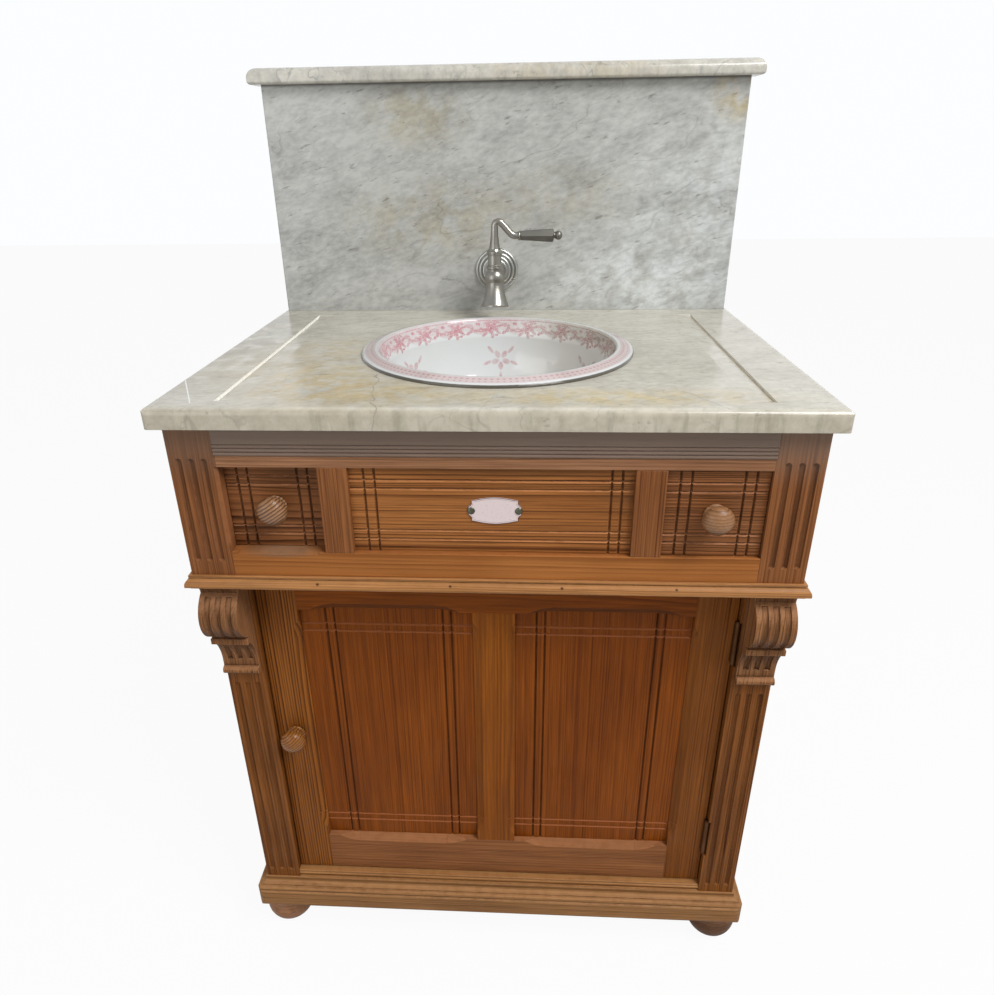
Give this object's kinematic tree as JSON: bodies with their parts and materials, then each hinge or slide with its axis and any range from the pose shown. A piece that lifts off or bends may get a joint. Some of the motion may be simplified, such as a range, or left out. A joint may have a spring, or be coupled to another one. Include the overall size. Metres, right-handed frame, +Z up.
{
  "type": "washstand with marble top",
  "caption": "Pine washstand cupboard with marble top and splashback, drop-in bowl, wall tap, drawers and a panelled door.",
  "frame": {"origin": "on the floor, under the middle of the whole washstand's bounding box", "axes": "+Z up, +Y from the door towards the wall, +X to the right of someone who faces the door"},
  "size_m": [0.72, 0.536, 1.203],
  "materials": {
    "marble_slab": "honed and waxed, cream white with tan stains and grey veins",
    "marble_upright": "polished, grey white with slanting grey veins and tan clouds",
    "glazed_bowl": null,
    "satin_nickel": "satin nickel plate, softly brushed",
    "brass_fittings": "aged brass",
    "browned_iron": "browned iron, nearly as dark as the wax in the joints",
    "chrome_trap": "bright chrome plate",
    "honey_pine": "waxed pitch pine, orange brown with strong straight grain",
    "dark_pine": "waxed pitch pine, browner and worn on the edges",
    "plain_pine": "bare planed pine"
  },
  "bodies": {
    "cabinet": {"marble_top": "marble_slab", "splashback": "marble_upright", "splash_shelf": "marble_upright", "basin": "glazed_bowl", "basin_waste": "satin_nickel", "waste_nut": "brass_fittings", "trap_body": "chrome_trap", "trap_outlet": "chrome_trap", "tap_flange": "satin_nickel", "tap_body": "satin_nickel", "tap_bonnet": "satin_nickel", "tap_backnut": "brass_fittings", "side_panel_left": "honey_pine", "side_panel_right": "honey_pine", "back_panel": "plain_pine", "bottom_board": "honey_pine", "drawer_runners": "plain_pine", "upper_pilaster_left": "dark_pine", "upper_pilaster_right": "dark_pine", "frieze_moulding": "dark_pine", "drawer_rail": "honey_pine", "divider_left": "honey_pine", "divider_right": "honey_pine", "centre_panel": "honey_pine", "frieze_lower_rail": "honey_pine", "waist_front": "honey_pine", "waist_returns": "honey_pine", "corbel_left": "dark_pine", "corbel_right": "dark_pine", "lower_pilaster_left": "dark_pine", "lower_pilaster_right": "dark_pine", "plinth_front": "honey_pine", "plinth_returns": "honey_pine", "plinth_back": "plain_pine", "corner_blocks": "plain_pine", "front_feet": "honey_pine", "rear_feet": "honey_pine", "hinge_leaves_frame": "browned_iron", "hinge_pins": "browned_iron"},
    "door": {"hinge_stile": "honey_pine", "lock_stile": "honey_pine", "door_top_rail": "honey_pine", "door_bottom_rail": "honey_pine", "door_muntin": "honey_pine", "door_panel_left": "honey_pine", "door_panel_right": "honey_pine", "door_knob": "honey_pine", "door_catch": "brass_fittings", "hinge_leaves_door": "browned_iron"},
    "drawer_left": {"drawer_left_front": "honey_pine", "drawer_left_box": "plain_pine", "drawer_left_bottom": "plain_pine", "drawer_left_knob": "honey_pine"},
    "drawer_right": {"drawer_right_front": "honey_pine", "drawer_right_box": "plain_pine", "drawer_right_bottom": "plain_pine", "drawer_right_knob": "honey_pine"},
    "tap_handle": {"tap_lever": "satin_nickel", "lever_grip": "satin_nickel"}
  },
  "joints": [
    {"name": "door_hinge", "type": "hinge", "parent": "cabinet", "child": "door", "pos_m": [0.2892, -0.205, 0.388], "axis": [0, 0, 1], "range_deg": [0, 95]},
    {"name": "drawer_left_slide", "type": "slide", "parent": "cabinet", "child": "drawer_left", "axis": [0, -1, 0], "range_m": [0, 0.2]},
    {"name": "drawer_right_slide", "type": "slide", "parent": "cabinet", "child": "drawer_right", "axis": [0, -1, 0], "range_m": [-0.01, 0.19]},
    {"name": "tap_lever_turn", "type": "hinge", "parent": "cabinet", "child": "tap_handle", "pos_m": [-0.009, 0.144, 0.98], "axis": [0, 0, 1], "range_deg": [-90, 0]}
  ]
}
